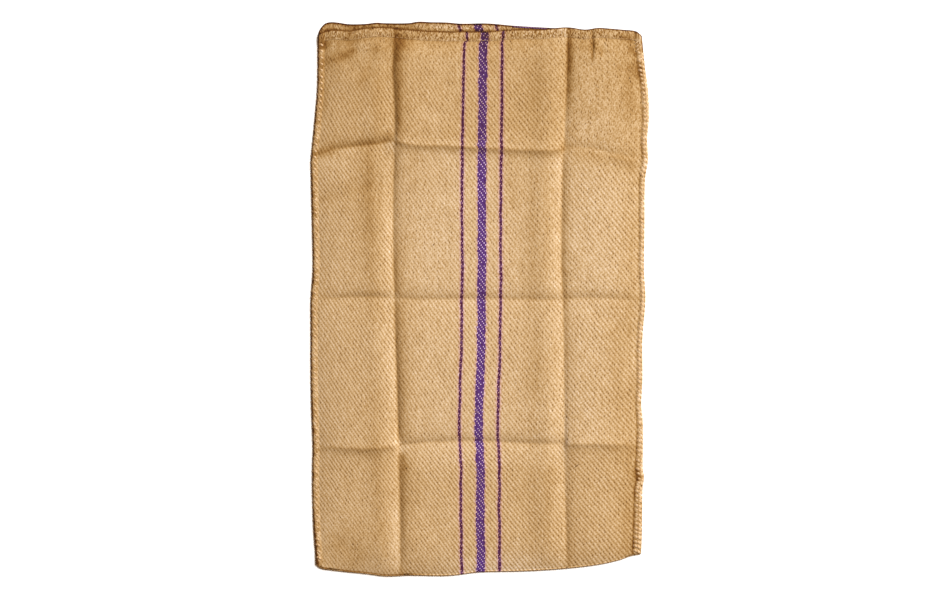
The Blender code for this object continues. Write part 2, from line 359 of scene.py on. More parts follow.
def picksAt(y):
    up = y - weave["closerBelow"]
    return up / weave["pickSpacing" if up > 0 else "bottomPickSpacing"]


# How brown the cloth is, as soft strokes like the creases: some of it is wear and dust, and much is
# painted shade beside folds and creases. Each height is in steps of browning, and a negative one is a
# paler place, mostly painted light where a fold would shade the cloth.
soilAndShadeStrokes = (
    ((-338, 520), (-180, 530), 0.14, (60.0, 30.0)),
    ((-254, 506), (-280, 492), 0.55, (7.0, 7.0)),
    ((-276, 492), (-316, 480), 0.36, (10.0, 10.0)),
    ((-316, 524), (-314, 506), 0.55, (5.0, 5.0)),
    ((-262, 540), (-262, 518), 0.32, (8.0, 8.0)),
    ((-208, 462), (-208, 350), 0.13, (14.0, 12.0)),
    ((-320, 490), (-317, 380), 0.20, (7.0, 7.0)),
    ((-226, 508), (-212, 492), 0.05, (8.0, 10.0)),
    ((-211, 518), (-209, 500), 0.26, (6.0, 6.0)),
    ((-212, 505), (-228, 452), 0.10, (8.0, 8.0)),
    ((-338, 200), (-205, 240), 0.12, (22.0, 12.0)),
    ((-300, -480), (-230, -530), 0.16, (40.0, 40.0)),
    ((312, 486), (330, 440), 0.20, (10.0, 10.0)),
    ((320, -344), (322, -368), 0.75, (6.0, 6.0)),
    ((-164, -288), (-158, -312), -0.34, (6.0, 7.0)),
    ((-158, -320), (-150, -352), 0.26, (5.0, 5.0)),
    ((-272, -304), (-184, -304), 0.08, (18.0, 4.0)),
    ((-328, 288), (-290, 299), 0.26, (3.0, 9.0)),
    ((-240, 470), (-244, 330), 0.02, (20.0, 12.0)),
    ((-326, 540), (-322, 508), 0.45, (5.0, 7.0)),
    ((-226, 330), (-222, 110), 0.26, (18.0, 18.0)),
    ((-222, 110), (-218, -40), 0.14, (16.0, 16.0)),
    ((-218, -180), (-194, -540), 0.13, (18.0, 16.0)),
    ((-187, 520), (-187, 440), 0.14, (8.0, 8.0)),
    ((-166, 512), (-166, 480), 0.25, (4.0, 7.0)),
    ((-165, 500), (-164, 330), 0.30, (5.0, 6.0)),
    ((-160, 120), (-152, -450), 0.13, (6.0, 15.0)),
    ((188, 300), (318, 280), 0.28, (24.0, 8.0)),
    ((276, -10), (276, -300), 0.13, (26.0, 26.0)),
    ((118, -60), (118, -200), 0.11, (22.0, 22.0)),
    ((139, -330), (137, -530), 0.09, (12.0, 10.0)),
    ((298, -400), (300, -545), 0.10, (16.0, 16.0)),
    ((-60, -537), (140, -529), -0.16, (20.0, 16.0)),
    ((-180, 340), (-214, 330), 0.12, (12.0, 12.0)),
    ((106, 300), (106, 0), 0.14, (24.0, 26.0)),
    ((106, 0), (106, -560), 0.07, (22.0, 26.0)),
    ((310, 300), (302, -540), 0.16, (24.0, 34.0)),
    ((300, 500), (306, 370), 0.24, (22.0, 22.0)),
    ((136, 310), (136, 40), 0.10, (12.0, 10.0)),
    ((115, 500), (115, 350), 0.14, (34.0, 34.0)),
    ((-130, 300), (-130, 230), 0.10, (30.0, 30.0)),
    ((66, 300), (66, 180), 0.12, (16.0, 16.0)),
    ((-161, 536), (-161, 506), 0.75, (9.0, 12.0)),
    ((227, 546), (230, 514), 0.4, (2.2, 2.2)),
    ((231, 521), (229, 500), 0.55, (3.6, 3.8)),
    ((228.5, 502), (228, 482), 0.5, (1.2, 1.2)),
    ((286, 533), (312, 524), 0.5, (5.0, 5.0)),
    ((305, 513), (317, 494), 0.7, (2.4, 2.4)),
    ((326, 476), (327, 448), 0.5, (4.0, 3.0)),
    ((246, 512), (246, 494), 0.25, (4.0, 4.0)),
    ((-178, 330), (-175, 306), -0.16, (8.0, 8.0)),
    ((-171, 14), (-170, -8), -0.22, (10.0, 12.0)),
    ((-186, 180), (-182, 30), -0.10, (9.0, 9.0)),
    ((-178, -60), (-175, -220), -0.10, (9.0, 9.0)),
    ((-172, -400), (-170, -540), -0.11, (9.0, 9.0)),
    ((-132, 384), (-82, 356), -0.10, (18.0, 18.0)),
    ((206, 364), (212, 326), -0.16, (9.0, 9.0)),
    ((168, 320), (171, 300), 0.20, (7.0, 7.0)),
    ((302, 274), (318, 262), 0.16, (8.0, 8.0)),
    ((311, -80), (311, -150), -0.12, (10.0, 10.0)),
    ((-226, 472), (-246, 430), 0.16, (9.0, 9.0)),
    ((-304, 516), (-292, 512), -0.20, (9.0, 9.0)),
    ((-238, 520), (-228, 506), -0.18, (8.0, 8.0)),
    ((177, 562), (177, 520), -0.38, (9.0, 9.0)),
    ((148, 548), (148, 520), -0.18, (9.0, 9.0)),
    ((-185, -286), (-140, -300), -0.12, (10.0, 10.0)),
    ((-226, 384), (-222, 330), -0.10, (12.0, 12.0)),
    ((208, 524), (212, 504), 0.20, (8.0, 7.0)),
)

# The rest of the brown: over the left, middle and right panels, partly the cloth's own tone and partly
# painted shade, and beside the folds, painted shade.
panelSoilAndShade = {
    "upper": (0.165, 0.195, 0.225),
    "middle": (0.10, 0.05, 0.015),
    "lower": (0.12, 0.11, 0.12),
    "upperBlend": 40.0,
    "lowerEnds": (-306.0, -338.0, -296.0),
    "lowerBlend": 16.0,
    "valleyPlace": 1.5,  # the valley's painted shade lies this far right of its fold
    "valleyReach": (3.5, 8.5),  # before and after it
    "shade": 0.08,  # beyond it
    "shadeReach": 26.0,
    # painted shade along the three folds across, in the left, middle and right panels
    "acrossFolds": ((0.12, 0.10, 0.08), (0.12, 0.12, 0.12), (0.40, 0.24, 0.12)),
    "acrossReach": (2.5, 11.0),  # on the steep side of a fold, and on the gentle one
    "mottle": 0.3,
    "mottleSize": 6.0,
    "palest": -0.08,
}


# The upper and lower bands are browner than the middle one: partly the cloth's own tone, partly painted
# shade.
def panelBrownAndShade(x, y, shares):
    size = panelSoilAndShade
    upperFold = readTable(crossFolds[2]["line"], "y", x)
    upper = smoothStep((y - upperFold) / size["upperBlend"] + 0.25)
    lower = smoothStep((perPanel(size["lowerEnds"], shares) - y) / size["lowerBlend"] + 0.5)
    zones = (("upper", upper), ("lower", lower), ("middle", 1.0 - upper - lower))
    return sum(perPanel(size[zone], shares) * amount for zone, amount in zones)


# Painted shade in the folds' valleys and along the folds across, and painted light where it is negative.
def foldShade(x, y, shares):
    size = panelSoilAndShade
    before, after = size["valleyReach"]
    steep, gentle = size["acrossReach"]
    brown = 0.0
    for name in ("left", "right"):
        distance = x - sideValue("fold" + name.capitalize(), y) - size["valleyPlace"]
        depth = readTable(sideFolds, name + "ValleyShade", y)
        if distance < 0:
            brown += (depth + size["shade"]) * hill(distance, before)
        else:
            shade = size["shade"] * math.exp(-distance / size["shadeReach"])
            brown += depth * hill(distance, after) + shade
    for fold, depths in zip(crossFolds, size["acrossFolds"]):
        distance = y - readTable(fold["line"], "y", x)
        ridge = perPanel(fold["height"], shares) > 0
        brown += perPanel(depths, shares) * hill(distance, gentle if (distance > 0) != ridge else steep)
    return brown


# Brown along the edges: a little is wear from hands and needles, and most is painted shade, as dark
# outlines at the left, bottom and right edges, a dark line along the lip and shade in the pit beside the
# right-hand bead. A reach is how far in the brown ends, and over how far it fades. The others in
# brackets are such limits along the sack or across it.
edgeSoilAndShade = {
    "hem": (0.03, 0.06, 0.10),  # left, middle and right panels
    "hemReach": (22.0, 3.0),
    # painted shade on the cloth below the hem
    "underHem": (0.20, 0.215, 0.15),
    "underHemFade": 18.0,
    # painted shade: a dark line along the front lip
    "lip": 1.3,
    "lipReach": (3.0, 2.2),
    "lipMore": 0.6,  # to the right of this place
    "lipMoreFrom": (110.0, 40.0),
    # painted shade: a dark outline along the left edge
    "left": 1.5,
    "leftReach": (3.3, 2.5),
    "leftRagged": 2.4,
    "leftWiderBelow": (-430.0, 60.0),
    "gutterShade": 0.16,  # painted shade in the gutter beside the left-hand stitches
    "gutterShadePlace": (8.0, 4.0),
    # painted shade: a dark outline along the bottom fold
    "bottom": 1.7,
    "bottomUpTo": (300.0, 200.0),
    "bottomReach": (2.6, 2.2),
    "bottomWider": 2.0,  # to the left of this place
    "bottomWiderFrom": (-90.0, 90.0),
    "paintedLight": 1.4,  # painted light: how much less of the painted shade the bottom has around this place
    "paintedLightAbove": 0.3,
    "paintedLightPlace": (50.0, 90.0),
    "paintedLightReach": (14.0, 10.0),
    "bead": -0.25,
    "beadReach": (8.5, 5.0),
    "beadFrom": (-560.0, 200.0),
    # painted shade: a dark outline along the right edge, and in and beside the pit
    "right": 1.2,
    "rightReach": (3.0, 2.4),
    "rightFrom": (440.0, 50.0),
    "pitWidth": 2.2,
    "pitUneven": 0.9,
    "besidePit": 0.1,
    "besidePitReach": (1.0, 3.0),
    "uneven": 0.5,  # from stitch to stitch
    "unevenSize": 9.0,
    "notchSize": (16.0, 9.0),
}


def edgeBrownAndShade(x, y, shares):
    size = edgeSoilAndShade
    toLeft, toRight = x - sideValue("left", y), sideValue("right", y) - x
    down, up = readTable(lips, "front", x) - y, y - readTable(bottomFold, "y", x)
    toPit = toRight - readTable(rightPit, "inset", y)
    uneven = unevenness(x, y, size["unevenSize"], 70.0)
    notch = noise.noise(Vector((x / size["notchSize"][0], y / size["notchSize"][1], 55.0)))
    # the hem, painted shade on the cloth below it, and painted shade along the lip
    underHem = math.exp(-max(down - sackCloth["hemDepth"], 0.0) / size["underHemFade"])
    brown = perPanel(size["hem"], shares) * below(down, *size["hemReach"])
    brown += perPanel(size["underHem"], shares) * underHem
    lip = size["lip"] + size["lipMore"] * above(x, *size["lipMoreFrom"])
    brown += lip * below(down, *size["lipReach"])
    # the left edge's painted dark outline, and painted shade in the gutter beside its stitches
    reach, blend = size["leftReach"]
    reach += size["leftRagged"] * (uneven + below(y, *size["leftWiderBelow"]))
    brown += size["left"] * below(toLeft, reach, blend)
    place, width = size["gutterShadePlace"]
    brown += (size["gutterShade"] + size["uneven"] * uneven) * hill(toLeft - place, width)
    # the bottom fold's painted dark outline, with painted light around one place
    place, width = size["paintedLightPlace"]
    paintedLight = hill(x - place, width)
    under = below(x, *size["bottomUpTo"]) * (size["bottom"] - size["paintedLight"] * paintedLight)
    reach, blend = size["bottomReach"]
    brown += under * below(up, reach + size["bottomWider"] * below(x, *size["bottomWiderFrom"]), blend)
    brown -= size["paintedLightAbove"] * paintedLight * below(up, *size["paintedLightReach"])
    # the right edge: its bead, a painted dark outline, and painted shade in the pit beside it
    brown += size["bead"] * below(toRight, *size["beadReach"]) * above(y, *size["beadFrom"])
    brown += size["right"] * above(y, *size["rightFrom"]) * below(toRight, *size["rightReach"])
    brown += (size["besidePit"] + size["uneven"] * notch) * below(toPit, *size["besidePitReach"])
    pit = readTable(rightPit, "soilAndShade", y) * (1.0 + size["pitUneven"] * notch)
    return brown + pit * hill(toPit, size["pitWidth"])


# the front wall's brown: stains, wear and tone, with painted shade and painted light
def soilAndShadeAt(x, y):
    size = panelSoilAndShade
    shares = panelShares(x, y)
    soilAndShade = panelBrownAndShade(x, y, shares) + foldShade(x, y, shares)
    soilAndShade += sum(strokeAt(stroke, x, y) for stroke in soilAndShadeStrokes)
    soilAndShade *= 1.0 + size["mottle"] * unevenness(x, y, size["mottleSize"], 40.0)
    return max(soilAndShade + edgeBrownAndShade(x, y, shares), size["palest"])


# The back wall's inner face, seen past the front lip: painted shade all over it, in the gap between the
# lips and along the back lip, and a few stains. Each stain is its place, its width and its brown, and
# each left end is its brown, where it starts and over how far.
innerSoilAndShade = {
    # painted shade: the inside is darker all over
    "all": 0.27,
    "stains": ((-146.0, 22.0, 0.3), (-262.0, 16.0, 0.35)),
    "leftEnds": ((0.14, -140.0, 40.0), (0.3, -296.0, 24.0)),
    "gap": 1.2,  # painted shade in the gap between the lips
    "gapWidth": 2.6,
    "edges": ((1.7, 4.2, 2.2), (0.2, 9.0, 5.0)),  # painted shade: dark outlines along the back lip
}


def innerSoilAndShadeAt(x, y):
    size = innerSoilAndShade
    gap, toBack = y - readTable(lips, "front", x), readTable(lips, "back", x) - y
    soilAndShade = size["all"] + size["gap"] * hill(gap, size["gapWidth"])
    soilAndShade += sum(brown * hill(x - place, width) for place, width, brown in size["stains"])
    soilAndShade += sum(brown * below(x, start, blend) for brown, start, blend in size["leftEnds"])
    return soilAndShade + sum(brown * below(toBack, reach, blend) for brown, reach, blend in size["edges"])


# How far the weave has fuzzed over, so that its diagonal is lost, in the left, middle and right panels.
fuzz = {
    "y": (-560, -320, -290, -10, 20, 280, 320, 430, 500, 560),
    "left": (0.6, 0.1, 0.2, 0.2, 0.2, 0.2, 0.1, 0.25, 0.9, 1.0),
    "middle": (0.1, 0.1, 0.35, 0.35, 0.5, 0.5, 0.35, 0.4, 0.7, 0.8),
    "right": (0.0, 0.05, 0.25, 0.25, 0.35, 0.4, 0.9, 1.0, 1.0, 1.0),
    "uneven": 0.2,
    "patch": 60.0,
    "hem": 2.0,  # hems and the back wall are knottier still
}


def fuzzAt(x, y):
    shares = panelShares(x, y)
    amount = perPanel([readTable(fuzz, name, y) for name in ("left", "middle", "right")], shares)
    amount += fuzz["uneven"] * unevenness(x, y, fuzz["patch"], 90.0)
    return min(max(amount, 0.0), 1.0)


# The cloth is one cut, from the hem of the front wall round the bottom to the back wall's hem. Its mesh
# is closest at some spots: where, how close, how the spacing grows from there, and how far it holds.
meshing = {
    "side": 167.0,  # from a seam to a long fold
    "middle": 345.0,  # between the long folds
    "seam": (0.0, 1.3, 0.12, 17.0),
    "pleat": (111.0, 1.2, 0.3, 0.0),
    "fold": (1.6, 0.2, 0.0),
    "widestSide": 5.2,
    "widestMiddle": 5.4,
    "bands": (258.0, 296.0, 298.0, 250.0),  # between the folds across, from the bottom up
    "crossFold": (2.2, 0.17, 0.0),
    "underHem": (4.6, 100.0, 90.0),
    "tallest": 7.6,
    "back": 1093.0,
    "backTallest": 36.0,  # the back wall is flat
    "backHem": 24.0,  # what is left for the back wall's hem
    "turnRows": 5,
    "bottomRows": 6,
}


def columnPlaces():
    size = meshing
    width, fold = size["side"], (size["side"], *size["fold"])
    side = stations(width, (size["seam"], fold), size["widestSide"])
    pleated = stations(width, (size["seam"], fold, size["pleat"]), size["widestSide"])
    folds = ((0.0, *size["fold"]), (size["middle"], *size["fold"]))
    middle = stations(size["middle"], folds, size["widestMiddle"])
    places = [("left", "foldLeft", place / width) for place in side]
    places += [("foldLeft", "foldRight", place / size["middle"]) for place in middle[1:]]
    return places + [("right", "foldRight", place / width) for place in reversed(pleated[:-1])]


def rowPlaces():  # each row's zone, its share of the way along it, and the band it is in
    size = meshing
    turns, bottomRows = size["turnRows"], size["bottomRows"]
    rows = [("frontHem", share, 0) for share in (1.0, 0.96, 0.8, 0.6, 0.4, 0.2, 0.1, 0.0)]
    rows += [("frontLip", row / turns, 0) for row in range(1, turns + 1)]
    for band in (3, 2, 1, 0):
        length = size["bands"][band]
        spots = [(0.0, *size["crossFold"]), (length, *size["crossFold"])]
        if band == 3:
            spots.append((length, *size["underHem"]))
        places = stations(length, spots, size["tallest"])
        rows += [("front", place / length, band) for place in reversed(places[:-1])]
    rows += [("bottom", row / bottomRows, 0) for row in range(bottomRows + 1)]
    places = stations(size["back"], (), size["backTallest"])
    rows += [("back", place / size["back"], 0) for place in places[1:]]
    rows += [("backEdge", share, 0) for share in (1.15, 0.98, 0.8, 0.5, 0.3, 0.2, 0.12, 0.05)]
    rows += [("backLip", row / turns, 0) for row in range(turns + 1)]
    return rows + [("backHem", share, 0) for share in (0.08, 0.3, 0.6, 0.85, 1.0)]


def placeAcross(column, y):
    start, end, share = column
    return mixValues(sideValue(start, y), sideValue(end, y), share)


def bottomAt(x):
    return readTable(bottomFold, "y", x) + sackCloth["bottomInset"]


def lipAt(name, x):
    return readTable(lips, name, x) - sackCloth["lipInset"]


def rowAt(row, x):  # where the row lies at x
    zone, share, band = row
    hem = sackCloth["hemDepth"] - sackCloth["lipInset"]
    if zone == "front":
        ends = [bottomAt(x), *[readTable(fold["line"], "y", x) for fold in crossFolds], lipAt("front", x)]
        return mixValues(ends[band], ends[band + 1], share)
    if zone == "bottom":
        return bottomAt(x)
    if zone == "back":
        return mixValues(bottomAt(x), readTable(lips, "back", x) - meshing["backHem"], share)
    lip = lipAt("front" if zone.startswith("front") else "back", x)
    return lip if zone.endswith("Lip") else lip - share * hem


def clothPoint(column, row):  # the middle of the cloth there, and how far along the cut it lies
    size = sackCloth
    zone, share, _ = row
    half, step = size["thickness"] / 2, size["thickness"] + size["layerGap"]
    y = {"front": 0.0, "bottom": -545.0, "back": -545.0}.get(zone, 540.0)
    for _ in range(6):  # a row bends with the column and a column with the row, so it closes in on both
        x = placeAcross(column, y)
        y = rowAt(row, x)
    angle = math.pi * share  # round a lip or the bottom
    if zone == "front":
        return x, y, frontWall(x, y) - half, y
    if zone == "bottom":
        radius = (frontWall(x, y) - size["thickness"]) / 2
        z = half + radius * (1 + math.cos(angle))
        return x, y - size["bottomBulge"] * math.sin(angle), z, y - size["bottomTurn"] * share
    frontY, backY = readTable(lips, "front", x), readTable(lips, "back", x)
    if zone == "frontHem":
        raised = mixValues(step, size["layerGap"], above(share, 0.5, 0.5))  # its edge is pressed in
        return x, y, frontWall(x, y) - half + raised, 2 * frontY - y
    turned, lift = y + step / 2 * math.sin(angle), step / 2 * (1 + math.cos(angle))
    if zone == "frontLip":
        return x, turned, frontWall(x, y) - half + lift, frontY
    bottomY = 2 * bottomAt(x) - size["bottomTurn"]
    if zone == "back":
        return x, y, half, bottomY - y
    if zone == "backEdge":
        raised = step * above(y, backY - size["hemDepth"] - 5.0, 6.0)  # it lies over its hem
        return x, y, half + raised, bottomY - y
    if zone == "backLip":
        return x, turned, half + lift, bottomY - y - size["lipTurn"] * share
    return x, y, half, bottomY - (2 * backY - y)


def threadShift(x, y, row):  # how far the hem and the back wall push the stripes aside
    zone, share, _ = row
    if zone == "backEdge":
        return weave["backHemShift"] + weave["backHemEase"] * min(share, 1.0)
    if zone in ("backLip", "backHem"):
        return weave["backHemShift"]
    if zone == "back":
        return weave["backShift"]
    inHem = below(readTable(lips, "front", x) - y, sackCloth["hemDepth"] + 3.0, 4.0)
    return inHem * mixValues(*weave["hemShift"], above(x, -30.0, 30.0))


def buildCloth():
    columns, rows = columnPlaces(), rowPlaces()
    cloth = bmesh.new()
    across, down = len(columns) - 1, len(rows) - 1
    bmesh.ops.create_grid(cloth, x_segments=across, y_segments=down, size=0.5)
    # the cloth's brown: stains, wear and tone, with painted shade and painted light
    soilAndShadeLayer = cloth.verts.layers.float.new("soilAndShade")
    fuzzLayer = cloth.verts.layers.float.new("fuzz")
    threads = {}
    for vertex in cloth.verts:
        column = columns[round((vertex.co.x + 0.5) * across)]
        row = rows[round((0.5 - vertex.co.y) * down)]
        x, y, z, along = clothPoint(column, row)
        vertex.co = (x * mm, y * mm, z * mm)
        threads[vertex] = (pairsAt(x - threadShift(x, y, row), y), picksAt(along))
        outer, flat = row[0] in ("front", "frontHem", "frontLip"), row[0] in ("front", "bottom")
        vertex[soilAndShadeLayer] = soilAndShadeAt(x, y) if outer else innerSoilAndShadeAt(x, y)
        vertex[fuzzLayer] = fuzzAt(x, y) if flat else fuzz["hem"]
    counts = cloth.loops.layers.uv.new("threads")
    for face in cloth.faces:
        for loop in face.loops:
            loop[counts].uv = threads[loop.vert]
    bmesh.ops.recalc_face_normals(cloth, faces=cloth.faces)
    data = bpy.data.meshes.new("sack_cloth")
    cloth.to_mesh(data)
    cloth.free()
    data.shade_smooth()
    piece = bpy.data.objects.new("sack_cloth", data)
    bpy.context.scene.collection.objects.link(piece)
    solid = piece.modifiers.new("thickness", "SOLIDIFY")
    solid.thickness = sackCloth["thickness"] * mm
    solid.offset = 0.0
    return piece


def makeStrand(sides, rings):  # a straight length of yarn, from 0 to 1 along Z
    strand = bmesh.new()
    bmesh.ops.create_cone(strand, cap_ends=True, segments=sides, radius1=1.0, radius2=1.0, depth=1.0)
    lengthways = [edge for edge in strand.edges if abs(edge.verts[0].co.z - edge.verts[1].co.z) > 0.5]
    bmesh.ops.subdivide_edges(strand, edges=lengthways, cuts=rings - 2)
    bmesh.ops.translate(strand, verts=strand.verts, vec=(0.0, 0.0, 0.5))
    template = bpy.data.meshes.new("strand")
    strand.to_mesh(template)
    strand.free()
    return template


def pointAlong(points, share):
    at = min(max(share, 0.0), 0.9999) * (len(points) - 1)
    start = int(at)
    t = at - start
    a, b, c, d = (Vector(points[min(max(start + k, 0), len(points) - 1)]) for k in (-1, 0, 1, 2))
    bend = (2 * a - 5 * b + 4 * c - d) * t * t + (3 * b - a - 3 * c + d) * t ** 3
    return b + 0.5 * ((c - a) * t + bend)


# Adds one strand that follows the points, and notes where its plies run.
def layYarn(pile, template, points, radius, across=(0.0, 0.0, 1.0), taper=0.0, flat=1.0):
    first = len(pile.verts)
    plies = pile.verts.layers.float_vector.get("plies") or pile.verts.layers.float_vector.new("plies")
    pile.from_mesh(template)
    pile.verts.ensure_lookup_table()
    length = sum((Vector(b) - Vector(a)).length for a, b in zip(points, points[1:]))
    frames = {}
    for number in range(first, len(pile.verts)):
        vertex = pile.verts[number]
        share = round(vertex.co.z, 4)
        if share not in frames:
            along = (pointAlong(points, share + 0.02) - pointAlong(points, share - 0.02)).normalized()
            side = along.cross(Vector(across)).normalized()
            thin = radius * (1.0 - taper * abs(2 * share - 1.0) ** 2)
            frames[share] = (pointAlong(points, share), side * thin, side.cross(along) * thin * flat)
        centre, side, up = frames[share]
        vertex[plies] = (vertex.co.x, vertex.co.y, share * length)
        vertex.co = (centre + side * vertex.co.x + up * vertex.co.y) * mm


def makeYarnPiece(name, layAll, sides, rings, material):
    strand, pile = makeStrand(sides, rings), bmesh.new()
    layAll(pile, strand)
    bpy.data.meshes.remove(strand)
    data = bpy.data.meshes.new(name)
    pile.to_mesh(data)
    pile.free()
    data.shade_smooth()
    data.materials.append(material)
    piece = bpy.data.objects.new(name, data)
    bpy.context.scene.collection.objects.link(piece)
    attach(piece, "root")
    print(name, len(data.polygons), "faces")
    return piece


# The overcast yarn of the seams. Each path is how far in from the edge, how high, and how far along.
seamYarn = {
    "colour": "C6A984",
    "shade": "9A7548",  # between the plies
    "right": {
        "path": ((12.6, 3.1, 3.2), (10.8, 3.8, 2.6), (8.4, 4.3, 1.6), (5.4, 4.4, 0.2),
                 (2.0, 3.6, -1.2), (0.1, 2.3, -2.0), (1.2, 1.0, -2.6)),
        "radius": 1.0, "flat": 3.3, "pitch": 9.3, "ends": (-513.0, 504.0),
    },
    "left": {
        "path": ((11.6, 3.4, -2.4), (10.0, 4.3, -1.8), (7.8, 4.8, -0.9), (5.2, 4.7, 0.3),
                 (2.6, 3.6, 1.4), (0.0, 2.4, 2.0), (-0.6, 1.4, 2.2), (1.2, 1.1, 2.4)),
        "radius": 0.7, "flat": 3.2, "pitch": 12.5, "ends": (-526.0, 520.0),
    },
    "corner": {
        "path": ((16.0, 4.2, -6.5), (13.0, 4.7, -5.0), (8.0, 5.1, -0.5), (3.4, 4.7, 3.5),
                 (1.6, 3.4, 5.0)),
        "radius": 0.45, "flat": 3.4, "places": (510.0, 517.5, 525.0, 532.0),
    },
}


def seamPoints(name, place, path, stretch):
    inward = -1.0 if name == "right" else 1.0
    points = []
    for inset, height, along in path:
        y = place + along
        points.append((sideValue(name, y) + inward * inset * stretch, y, height))
    return points


def sideStitches(pile, strand):
    for name in ("right", "left"):
        seam = seamYarn[name]
        y, end = seam["ends"]
        while y < end:
            shift, thick = chance.uniform(-0.8, 0.8), chance.uniform(0.8, 1.1)
            stretch = readTable(rightPit, "inset", y) / seam["path"][0][0] if name == "right" else 1.0
            points = seamPoints(name, y + shift, seam["path"], stretch)
            radius = seam["radius"] * thick
            layYarn(pile, strand, points, radius, across=(0.0, 1.0, 0.0), flat=seam["flat"])
            y += seam["pitch"] * chance.uniform(0.92, 1.08)
    corner = seamYarn["corner"]
    for place in corner["places"]:
        points = seamPoints("right", place, corner["path"], 1.0)
        layYarn(pile, strand, points, corner["radius"], across=(0.0, 1.0, 0.0), flat=corner["flat"])


hemYarn = {
    "span": 312.0,
    "down": 18.2,  # below the lip
    "pitch": 8.6,
    "half": (2.0, 2.8),  # half a stitch on show
    "dive": 0.8,
    "radius": 0.32,
    "flat": 1.9,
}


def hemStitches(pile, strand):
    size = hemYarn
    x = -size["span"]
    while x < size["span"]:
        half = chance.uniform(*size["half"])
        dive = half + size["dive"]
        points = []
        for along, lift in ((-dive, -0.6), (-half, 0.1), (0.0, 0.3), (half, 0.1), (dive, -0.6)):
            at = x + along
            y = readTable(lips, "front", at) - size["down"] + chance.uniform(-0.3, 0.3)
            points.append((at, y, frontWall(at, y) + 0.05 + lift))
        layYarn(pile, strand, points, size["radius"], across=(0.0, 1.0, 0.0), flat=size["flat"])
        x += size["pitch"] * chance.uniform(0.92, 1.08)


lipYarn = {
    "colour": "86688F",
    "shade": "472A50",
    "start": 66.0,
    "length": 69.6,
    "points": 13,
    "down": 2.6,
    "height": 3.1,
    "radius": 1.2,
    "taper": 0.6,
    "flat": 0.5,
}


def lipThread(pile, strand):
    size = lipYarn
    points = []
    for number in range(size["points"]):
        x = size["start"] + size["length"] * number / (size["points"] - 1)
        y = readTable(lips, "back", x) - size["down"] + chance.uniform(-0.5, 0.5)
        points.append((x, y, size["height"] + chance.uniform(-0.1, 0.2)))
    layYarn(pile, strand, points, size["radius"], taper=size["taper"], flat=size["flat"])


def layFleck(pile, strand, x, y, length, angle, radius, bow):  # a short bit of fibre, lying on the cloth
    points = []
    for share in (-0.5, -0.25, 0.0, 0.25, 0.5):
        sway = bow * (0.25 - share * share)
        atX = x + math.cos(angle) * share * length - math.sin(angle) * sway
        atY = y + math.sin(angle) * share * length + math.cos(angle) * sway
        points.append((atX, atY, frontWall(atX, atY) + radius * 0.15))
    layYarn(pile, strand, points, radius, taper=0.8, flat=0.35)


strayHair = {
    "colour": "DEC096",
    "shade": "A97F4C",
    "count": 260,
    "spanX": (-312.0, 310.0),
    "spanY": (-520.0, 505.0),
    "length": (7.0, 20.0),
    "radius": (0.16, 0.3),
    "bow": (-8.0, 8.0),
}


def looseFibres(pile, strand):
    size = strayHair
    for _ in range(size["count"]):
        x, y = chance.uniform(*size["spanX"]), chance.uniform(*size["spanY"])
        length, angle = chance.uniform(*size["length"]), chance.uniform(0.0, math.pi)
        radius, bow = chance.uniform(*size["radius"]), chance.uniform(*size["bow"])
        layFleck(pile, strand, x, y, length, angle, radius, bow)


bark = {
    "colour": "643A14",
    "shade": "3C220A",
    "bow": 1.0,
    "flecks": (  # places, lengths, slants and radii
        (-94.2, 109.6, 2.0, 1.3, 1.3), (304.5, 448.6, 2.6, 1.3, 1.5), (168.5, 188.8, 3.0, 1.5, 0.9),
        (261.9, 146.2, 2.6, 1.2, 1.0), (280.1, 69.0, 2.6, 1.2, 0.9), (-106.6, 40.6, 2.4, 1.2, 0.9),
        (221.3, 223.3, 2.4, 1.3, 0.8), (176.6, -239.5, 2.8, 1.4, 0.9), (286.2, -198.9, 2.4, 1.2, 0.8),
        (88.3, 416.1, 2.6, -0.9, 0.9), (196.4, -338.5, 12.0, 0.66, 0.75), (113.7, 107.6, 2.4, -1.2, 0.8),
        (73.1, -170.5, 2.4, 1.2, 0.8), (-148.2, -343.1, 2.6, 1.2, 0.8), (253.7, -473.0, 2.6, 1.2, 0.8),
        (-258.0, -497.5, 2.4, 1.2, 0.8), (-252.0, -507.5, 2.2, 1.3, 0.8), (-251.0, -532.0, 2.4, 1.1, 0.8),
        (-193.0, -530.0, 2.4, 1.2, 0.7), (-283.0, -443.5, 2.4, 1.2, 0.7), (-239.5, 249.7, 2.6, 1.0, 0.8),
        (95.4, 487.2, 2.4, 1.0, 0.8), (239.5, 62.9, 2.4, 1.3, 0.7),
    ),
}


def darkSlubs(pile, strand):
    for x, y, length, angle, radius in bark["flecks"]:
        layFleck(pile, strand, x, y, length, angle, radius, bark["bow"])


def linearColour(hexValue):
    parts = [int(hexValue[i:i + 2], 16) / 255 for i in (0, 2, 4)]
    linear = [part / 12.92 if part <= 0.04045 else ((part + 0.055) / 1.055) ** 2.4 for part in parts]
    return (*linear, 1.0)


# Adds one node. Its inputs go by number or by name, and another node there is linked by its first
# output in use.
def addNode(tree, kind, inputs=(), operation=None, **settings):
    node = tree.nodes.new("ShaderNode" + kind)
    if operation:
        node.operation = operation
    for name, value in settings.items():
        setattr(node, name, value)
    for socket, value in inputs.items() if isinstance(inputs, dict) else enumerate(inputs):
        if isinstance(value, bpy.types.Node):
            value = next(output for output in value.outputs if output.enabled)
        if isinstance(value, bpy.types.NodeSocket):
            tree.links.new(value, node.inputs[socket])
        else:
            node.inputs[socket].default_value = value
    return node


def newMaterial(name):
    material = bpy.data.materials.new(name)
    material.use_nodes = True
    material.node_tree.nodes.clear()
    return material, partial(addNode, material.node_tree)
